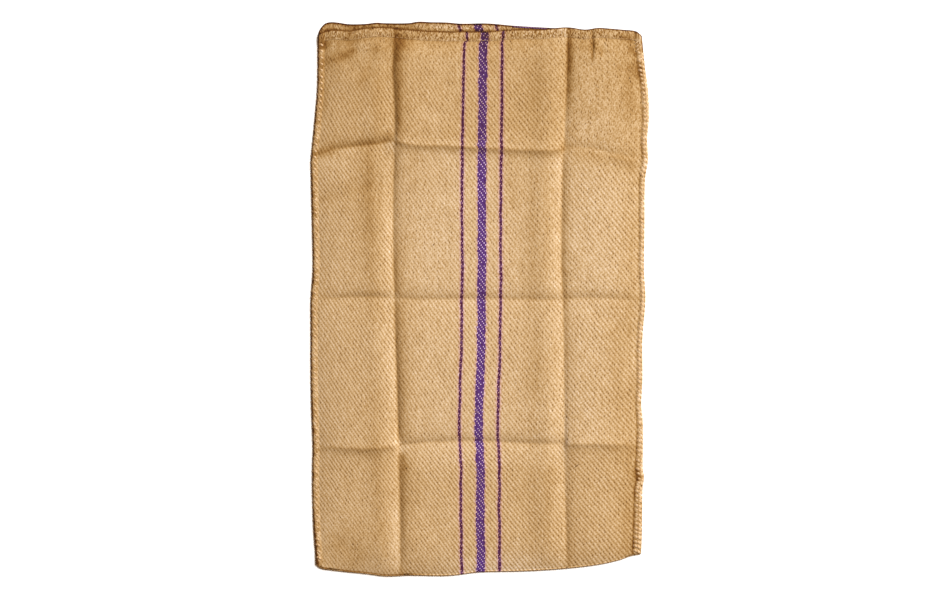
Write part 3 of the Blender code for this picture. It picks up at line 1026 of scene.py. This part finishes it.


# The yarns' dyes, how they stray and arch, and what browns them, painted shade in pores, grooves and
# low yarn included. Sizes are in millimetres, and a brown is in the same steps as the soil and painted
# shade.
juteTwill = {
    "straw": "C9B192",
    "weft": "D0BCA1",
    "browning": (0.368, 0.235, 0.085),  # what each step browner lets through
    "violet": "513075",
    "plum": "4F2C6C",
    "lineDye": "481A3E",
    "fadedDye": "5E3A66",
    "lilac": "D4B8DA",
    "bleed": "C69CB2",
    "roughness": 0.88,
    "specular": 0.15,
    "bump": 0.2,
    "bumpHeight": 1.2,
    "drift": (1.2, 0.9, 0.0),  # how far the yarns stray, in pairs and picks
    "driftSize": 26.36,
    "jitter": (0.26, 0.4, 0.0),
    "jitterSize": 3.625,
    "jitterLeast": 0.8,
    "jitterFuzz": 0.8,  # more of it where the cloth is fuzzy
    "floatLevel": 0.62,
    "floatArch": 0.44,
    "floatFuzz": -0.26,
    "pairRound": 0.3,
    "weftLevel": 0.56,
    "weftDyed": -0.23,  # the weft shows less in the stripes
    "stripe": 126.0,  # the middle of the wide stripe, in pairs
    "stripeHalf": 3.0,
    "ragged": 0.7,
    "lines": (112.15, 139.2),
    "lineHalf": 0.97,
    "fade": (0.45, 0.72),
    "fadeSize": 8.623,
    "bled": 0.6,
    "bledReach": (0.9, 2.6),  # in pairs, from the dyed ones
    "dotDip": -0.8,  # a weft dot shows where a float is lower than this
    "dotEdge": 0.68,
    "dotsLost": 0.12,
    "dotsCleaner": -0.18,
    "groove": 0.2,
    "grooveFuzz": -0.2,
    "grooveReach": (-0.4, 1.0),
    "poreAcross": (0.8, 0.1),
    "poreAlong": (0.1, 0.9),
    "poreLeast": 0.2,
    "poreMore": 1.25,
    "poreRelief": -0.4,
    "gapOpen": (0.5, 1.6),
    "gapSize": (3.973, 151.9),  # across and along the warp
    "flank": (-0.4, 0.36),  # painted shade: low yarn is browner than high yarn
    "flankFuzz": -0.35,
    "dyeHides": -0.6,
    "knots": 0.2,
    "knotFuzz": 0.24,
    "knotMean": 0.31,
    "fewStrong": 2.2,  # a high power leaves few knots and pores dark
    "floatBrown": 0.1,
    "hairBrown": 0.5,
    "hairSize": 2.5217,
    "streakBrown": 0.06,
    "streakSize": (6.444, 129.35),
    "barBrown": 0.04,
    "barSize": (145.0, 7.761),
    "patchBrown": 0.06,
    "patchSize": 41.43,
}


def perThread(across, along):  # how much of a pattern goes by in each pair and in each pick
    return weave["pairSpacing"] / across, weave["pickSpacing"] / along, 0.0


def strayThreads(add, threads, fuzzed):  # the yarns wander, and most of all where they are fuzzy
    look = juteTwill
    strays = []
    for name, detail in (("drift", 2.0), ("jitter", 1.0)):
        scale = weave["pairSpacing"] / look[name + "Size"]
        pattern = {"Vector": threads, "Scale": scale, "Detail": detail}
        waves = add("TexNoise", pattern, noise_dimensions="2D")
        strays.append(add("VectorMath", (waves.outputs["Color"], (0.5, 0.5, 0.5)), "SUBTRACT"))
    drifted = add("VectorMath", (strays[0], look["drift"], threads), "MULTIPLY_ADD")
    jitter = add("VectorMath", (strays[1], look["jitter"]), "MULTIPLY")
    size = add("Math", (fuzzed, look["jitterFuzz"], look["jitterLeast"]), "MULTIPLY_ADD")
    jitter = add("VectorMath", {0: jitter, "Scale": size}, "SCALE")
    moved = add("VectorMath", (drifted, jitter), "ADD")
    place = add("SeparateXYZ", (moved,))
    return place.outputs["X"], place.outputs["Y"]


def roundYarn(add, count):  # 0 between two yarns and 1 on top of one
    turn = add("Math", (count, math.pi), "MULTIPLY")
    wave = add("Math", (turn,), "SINE")
    return add("Math", (wave,), "ABSOLUTE")


def threeStep(add, count):  # a wave that comes round once in three, as the twill does
    turn = add("Math", (count, 2 * math.pi / 3), "MULTIPLY")
    return add("Math", (turn,), "COSINE")


def dyeWarp(add, pair, pickIndex):  # the stripes' edges are ragged, pick by pick
    look = juteTwill
    perPick = add("TexWhiteNoise", {"W": pickIndex}, noise_dimensions="1D")
    ragged = add("Math", (perPick, look["ragged"], -look["ragged"] / 2), "MULTIPLY_ADD")
    ragged = add("Math", (pair, ragged), "ADD")
    away = []
    for source, line in ((ragged, look["stripe"]), (pair, look["lines"][0]), (pair, look["lines"][1])):
        distance = add("Math", (source, -line), "ADD")
        away.append(add("Math", (distance,), "ABSOLUTE"))
    offMiddle = away[0]
    offLines = add("Math", (away[1], away[2]), "MINIMUM")
    wide = add("Math", (offMiddle, look["stripeHalf"]), "LESS_THAN")
    core = add("Math", (offMiddle, look["stripeHalf"] - 1.0), "LESS_THAN")
    thin = add("Math", (offLines, look["lineHalf"]), "LESS_THAN")
    dyed = add("Math", (wide, thin), "MAXIMUM")
    return {"offMiddle": offMiddle, "offLines": offLines, "wide": wide, "core": core, "thin": thin,
            "dyed": dyed}


def showWeft(add, dye, indexes, floatWave, acrossPair, weftHeight, warpHeight):
    # The weft shows where the warp dips, and in the stripes as single pale dots.
    look = juteTwill
    higher = add("Math", (weftHeight, warpHeight), "GREATER_THAN")
    dip = add("Math", (floatWave, look["dotDip"]), "LESS_THAN")
    overPair = add("Math", (acrossPair, look["dotEdge"]), "GREATER_THAN")
    perDot = add("TexWhiteNoise", {"Vector": indexes}, noise_dimensions="2D")
    seen = add("Math", (perDot, look["dotsLost"]), "GREATER_THAN")
    dot = add("Math", (dip, overPair), "MULTIPLY")
    dot = add("Math", (dot, seen), "MULTIPLY")
    undyed = add("Math", (1.0, dye["dyed"]), "SUBTRACT")
    plainWeft = add("Math", (higher, undyed), "MULTIPLY")
    return add("Math", (dot, dye["dyed"], plainWeft), "MULTIPLY_ADD")


def openPores(add, pair, pick, diagonal, acrossPair, fuzzed):
    # The groove between two diagonals, and the pores in it, beside every pair, browned as painted shade.
    look = juteTwill
    slant = threeStep(add, add("Math", (pair, pick), "ADD"))
    steps = []
    for source, name in ((slant, "grooveReach"), (acrossPair, "poreAcross"), (slant, "poreAlong")):
        start, end = look[name]
        reach = {"Value": source, "From Min": start, "From Max": end}
        steps.append(add("MapRange", reach, interpolation_type="SMOOTHSTEP"))
    groove, poreAcross, poreAlong = steps
    pore = add("Math", (poreAlong, poreAcross), "MULTIPLY")
    sideIndex = add("Math", (pair,), "ROUND")
    poreIndex = add("Math", (diagonal, 3.0), "DIVIDE")
    poreIndex = add("Math", (poreIndex,), "ROUND")
    porePlace = add("CombineXYZ", {"X": sideIndex, "Y": poreIndex})
    perPore = add("TexWhiteNoise", {"Vector": porePlace}, noise_dimensions="2D")
    poreDepth = add("Math", (perPore, look["fewStrong"]), "POWER")
    poreDepth = add("Math", (poreDepth, look["poreMore"], look["poreLeast"]), "MULTIPLY_ADD")
    # some gaps between the pairs stand open for a while, and some are shut
    gapPlace = add("CombineXYZ", {"X": sideIndex, "Y": pick})
    gapPlace = add("VectorMath", (gapPlace, perThread(*look["gapSize"])), "MULTIPLY")
    gaps = add("TexNoise", {"Vector": gapPlace, "Scale": 1.0, "Detail": 0.0}, noise_dimensions="2D")
    shut, wide = look["gapOpen"]
    gap = add("MapRange", {"Value": gaps, "From Min": 0.3, "From Max": 0.7, "To Min": shut,
                           "To Max": wide})
    pore = add("Math", (pore, poreDepth), "MULTIPLY")
    pore = add("Math", (pore, gap), "MULTIPLY")
    grooveSize = add("Math", (fuzzed, look["grooveFuzz"], look["groove"]), "MULTIPLY_ADD")
    return pore, add("Math", (groove, grooveSize, pore), "MULTIPLY_ADD")


def mixYarns(add, dye, pick, weftShows):
    look = {name: linearColour(value) for name, value in juteTwill.items() if isinstance(value, str)}
    # inputs 0, 6 and 7 of a colour mix are its factor and its two colours
    violets = add("Mix", {0: dye["core"], 6: look["plum"], 7: look["violet"]}, data_type="RGBA")
    slow = add("Math", (pick, weave["pickSpacing"] / juteTwill["fadeSize"]), "MULTIPLY")
    faded = add("TexNoise", {"W": slow, "Scale": 1.0, "Detail": 1.0}, noise_dimensions="1D")
    start, end = juteTwill["fade"]
    faded = add("MapRange", {"Value": faded, "From Min": start, "From Max": end})
    lineDye = add("Mix", {0: faded, 6: look["lineDye"], 7: look["fadedDye"]}, data_type="RGBA")
    violets = add("Mix", {0: dye["thin"], 6: violets, 7: lineDye}, data_type="RGBA")
    warpColour = add("Mix", {0: dye["dyed"], 6: look["straw"], 7: violets}, data_type="RGBA")
    weftColour = add("Mix", {0: dye["wide"], 6: look["weft"], 7: look["lilac"]}, data_type="RGBA")
    weftColour = add("Mix", {0: dye["thin"], 6: weftColour, 7: look["bleed"]}, data_type="RGBA")
    yarn = add("Mix", {0: weftShows, 6: warpColour, 7: weftColour}, data_type="RGBA")
    # the dye has bled a little into the yarns beside it
    edge = juteTwill["lineHalf"] - juteTwill["stripeHalf"]
    offWide = add("Math", (dye["offMiddle"], edge), "ADD")
    offDye = add("Math", (offWide, dye["offLines"]), "MINIMUM")
    start, end = juteTwill["bledReach"]
    bled = add("MapRange", {"Value": offDye, "From Min": start, "From Max": end,
                            "To Min": juteTwill["bled"], "To Max": 0.0})
    undyed = add("Math", (1.0, dye["dyed"]), "SUBTRACT")
    bled = add("Math", (bled, undyed), "MULTIPLY")
    return add("Mix", {0: bled, 6: yarn, 7: look["bleed"]}, data_type="RGBA")


def brownYarns(add, threads, pair, pickIndex, pairIndex, diagonal, fuzzy, brown):
    # No two floats are alike, and the yarn is hairy. Real hairs are finer, and drawn this coarse to show.
    look = juteTwill
    floatIndex = add("Math", (diagonal, 3.0), "DIVIDE")
    floatIndex = add("Math", (floatIndex,), "FLOOR")
    floatPlace = add("CombineXYZ", {"X": pairIndex, "Y": floatIndex})
    perFloat = add("TexWhiteNoise", {"Vector": floatPlace}, noise_dimensions="2D")
    yarnIndex = add("Math", (pair, 2.0), "MULTIPLY")
    yarnIndex = add("Math", (yarnIndex,), "FLOOR")
    knotPlace = add("CombineXYZ", {"X": yarnIndex, "Y": pickIndex})
    perKnot = add("TexWhiteNoise", {"Vector": knotPlace}, noise_dimensions="2D")
    knotSize = add("Math", (fuzzy, fuzzy), "MULTIPLY")
    knotSize = add("Math", (knotSize, look["knotFuzz"], look["knots"]), "MULTIPLY_ADD")
    knot = add("Math", (perKnot, look["fewStrong"]), "POWER")
    knot = add("Math", (knot, -look["knotMean"]), "ADD")
    brown = add("Math", (knot, knotSize, brown), "MULTIPLY_ADD")
    sources = {"float": perFloat}
    for name, detail in (("hair", 3.0), ("patch", 2.0)):
        scale = weave["pairSpacing"] / look[name + "Size"]
        pattern = {"Vector": threads, "Scale": scale, "Detail": detail}
        sources[name] = add("TexNoise", pattern, noise_dimensions="2D")
    for name in ("streak", "bar"):
        laid = add("VectorMath", (threads, perThread(*look[name + "Size"])), "MULTIPLY")
        pattern = {"Vector": laid, "Scale": 1.0, "Detail": 2.0}
        sources[name] = add("TexNoise", pattern, noise_dimensions="2D")
    for name, source in sources.items():
        size = look[name + "Brown"]
        shift = add("Math", (source, size, -0.5 * size), "MULTIPLY_ADD")
        brown = add("Math", (brown, shift), "ADD")
    return brown


def makeJuteTwill():
    # Jute twill, woven 2/1 from doubled yarn: dull straw, with painted shade as brown pores on the
    # diagonal.
    look = juteTwill
    material, add = newMaterial("jute twill, woven")
    threads = add("UVMap", uv_map="threads")
    fuzzy = add("Attribute", attribute_name="fuzz").outputs["Fac"]
    # brown from the mesh: stains, wear and tone, with painted shade and painted light
    soilAndShade = add("Attribute", attribute_name="soilAndShade").outputs["Fac"]
    fuzzed = add("Math", (fuzzy, 1.0), "MINIMUM")
    pair, pick = strayThreads(add, threads, fuzzed)
    pairIndex = add("Math", (pair,), "FLOOR")
    pickIndex = add("Math", (pick,), "FLOOR")
    indexes = add("CombineXYZ", {"X": pairIndex, "Y": pickIndex})
    # a float lasts two picks of three, and the next pair's starts one pick lower
    diagonal = add("Math", (pick, pairIndex), "ADD")
    floatWave = threeStep(add, add("Math", (diagonal, -1.0), "ADD"))
    waveSize = add("Math", (fuzzed, look["floatFuzz"], look["floatArch"]), "MULTIPLY_ADD")
    floatHeight = add("Math", (floatWave, waveSize, look["floatLevel"]), "MULTIPLY_ADD", use_clamp=True)
    acrossPair, acrossPick = roundYarn(add, pair), roundYarn(add, pick)
    roundPair = add("Math", (acrossPair, look["pairRound"]), "POWER")
    warpHeight = add("Math", (floatHeight, roundPair), "MULTIPLY")
    dye = dyeWarp(add, pair, pickIndex)
    weftSize = add("Math", (dye["dyed"], look["weftDyed"], look["weftLevel"]), "MULTIPLY_ADD")
    weftHeight = add("Math", (acrossPick, weftSize), "MULTIPLY")
    weftShows = showWeft(add, dye, indexes, floatWave, acrossPair, weftHeight, warpHeight)
    height = add("Math", (warpHeight, weftHeight), "MAXIMUM")
    pore, deep = openPores(add, pair, pick, diagonal, acrossPair, fuzzed)
    yarn = mixYarns(add, dye, pick, weftShows)
    # the dye hides some of the brown, and the pale dots stay cleaner
    # painted shade: low yarn, grooves and pores are browner
    flank = add("Math", (height, *look["flank"]), "MULTIPLY_ADD")
    flankSize = add("Math", (fuzzed, look["flankFuzz"], 1.0), "MULTIPLY_ADD")
    brown = add("Math", (flank, flankSize, deep), "MULTIPLY_ADD")
    brown = brownYarns(add, threads, pair, pickIndex, pairIndex, diagonal, fuzzy, brown)
    hides = add("Math", (dye["dyed"], look["dyeHides"], 1.0), "MULTIPLY_ADD")
    brown = add("Math", (brown, hides, soilAndShade), "MULTIPLY_ADD")
    cleaner = add("Math", (weftShows, dye["wide"]), "MULTIPLY")
    brown = add("Math", (cleaner, look["dotsCleaner"], brown), "MULTIPLY_ADD")
    exponent = add("CombineXYZ", {"X": brown, "Y": brown, "Z": brown})
    stain = add("VectorMath", (look["browning"], exponent), "POWER")
    coloured = add("VectorMath", (yarn, stain), "MULTIPLY")
    relief = add("Math", (pore, look["poreRelief"], height), "MULTIPLY_ADD")
    bump = add("Bump", {"Strength": look["bump"], "Distance": look["bumpHeight"] * mm, "Height": relief})
    shader = add("BsdfPrincipled", {"Base Color": coloured, "Roughness": look["roughness"],
                                    "Specular IOR Level": look["specular"], "Normal": bump})
    add("OutputMaterial", {"Surface": shader})
    return material


twist = {
    "pitch": 5.5,  # the length in which a ply goes once round
    "dark": (-1.0, 0.1),  # the part of each turn that lies in shade
    "hairSize": 2.381,  # real hairs are finer, and drawn this coarse to show
    "hairLight": 1.7,
    "roughness": 0.85,
    "specular": 0.15,
}


def makeTwine(name, piece):
    # Spun jute: plies that wind round each other, dull and hairy, with painted shade in the dark lines
    # between them.
    material, add = newMaterial(name)
    plies = add("Attribute", attribute_name="plies").outputs["Vector"]
    parts = add("SeparateXYZ", (plies,))
    around = add("Math", (parts.outputs["Y"], parts.outputs["X"]), "ARCTAN2")
    perLength = 2 * math.pi / twist["pitch"]
    turned = add("Math", (parts.outputs["Z"], perLength, around), "MULTIPLY_ADD")
    wave = add("Math", (turned,), "SINE")
    start, end = twist["dark"]
    lit = add("MapRange", {"Value": wave, "From Min": start, "From Max": end})
    place = add("TexCoord").outputs["Object"]
    hair = add("TexNoise", {"Vector": place, "Scale": 1.0 / (twist["hairSize"] * mm), "Detail": 2.0})
    lit = add("Math", (lit, hair), "MULTIPLY")
    lit = add("Math", (lit, twist["hairLight"]), "MULTIPLY", use_clamp=True)
    colours = {6: linearColour(piece["shade"]), 7: linearColour(piece["colour"])}
    mixed = add("Mix", {0: lit, **colours}, data_type="RGBA")
    shader = add("BsdfPrincipled", {"Base Color": mixed, "Roughness": twist["roughness"],
                                    "Specular IOR Level": twist["specular"]})
    add("OutputMaterial", {"Surface": shader})
    return material


# The floor, the lights and the camera, in metres.
stage = {
    "view": (-10.1 * mm, -2.0 * mm, 4.508),
    "lens": 84.0,
    "floorSize": 15.0,
    "floorLevel": -0.2 * mm,
    "paper": "F4F4F4",
    "paperRoughness": 0.9,
    "keyPlace": (13.75, 12.0, 14.75),
    "keySize": 11.0,
    "keyPower": 11560.0,
    "fillColour": "FFD2A0",  # the bounce from warm cloth and paper
    "fill": 0.24,
    "wallColour": "FFFFFF",
}


def buildFloor():
    ground = bmesh.new()
    bmesh.ops.create_grid(ground, x_segments=1, y_segments=1, size=stage["floorSize"])
    data = bpy.data.meshes.new("floor")
    ground.to_mesh(data)
    ground.free()
    floor = bpy.data.objects.new("floor", data)
    floor.location.z = stage["floorLevel"]
    bpy.context.scene.collection.objects.link(floor)
    # Pale paper, uncoated: matt and even, and nearly white.
    material, add = newMaterial("pale paper")
    paper = {"Base Color": linearColour(stage["paper"]), "Roughness": stage["paperRoughness"]}
    add("OutputMaterial", {"Surface": add("BsdfPrincipled", paper)})
    data.materials.append(material)


def buildLights():
    light = bpy.data.lights.new("softbox", "AREA")
    light.shape = "DISK"
    light.size = stage["keySize"]
    light.energy = stage["keyPower"]
    key = bpy.data.objects.new("softbox", light)
    key.location = stage["keyPlace"]
    key.rotation_euler = (-Vector(stage["keyPlace"])).to_track_quat("-Z", "Y").to_euler()
    bpy.context.scene.collection.objects.link(key)
    world = bpy.data.worlds.new("studio")
    bpy.context.scene.world = world
    world.use_nodes = True
    world.node_tree.nodes.clear()
    add = partial(addNode, world.node_tree)
    bounce = add("Background", {"Color": linearColour(stage["fillColour"]), "Strength": stage["fill"]})
    wall = add("Background", {"Color": linearColour(stage["wallColour"]), "Strength": 1.0})
    seen = add("LightPath").outputs["Is Camera Ray"]
    both = add("MixShader", (seen, bounce, wall))
    add("OutputWorld", {"Surface": both})


def buildCamera():
    view = bpy.data.cameras.new("camera")
    view.lens = stage["lens"]
    camera = bpy.data.objects.new("camera", view)
    camera.location = stage["view"]
    bpy.context.scene.collection.objects.link(camera)
    bpy.context.scene.camera = camera
    bpy.context.scene.view_settings.view_transform = "Standard"


buildFloor()
buildLights()
buildCamera()
print("stage ready")

cloth = buildCloth()
cloth.data.materials.append(makeJuteTwill())
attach(cloth, "root")
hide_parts("sack")
print("cloth", len(cloth.data.polygons), "faces")

twine = makeTwine("jute twine, plied", seamYarn)
violetTwine = makeTwine("violet jute twine", lipYarn)
sewing = [
    makeYarnPiece("side_stitches", sideStitches, 6, 7, twine),
    makeYarnPiece("hem_stitches", hemStitches, 5, 6, twine),
    makeYarnPiece("lip_thread", lipThread, 6, 26, violetTwine),
    makeYarnPiece("loose_fibres", looseFibres, 3, 5, makeTwine("jute fibre", strayHair)),
    makeYarnPiece("dark_slubs", darkSlubs, 5, 6, makeTwine("jute bark", bark)),
]
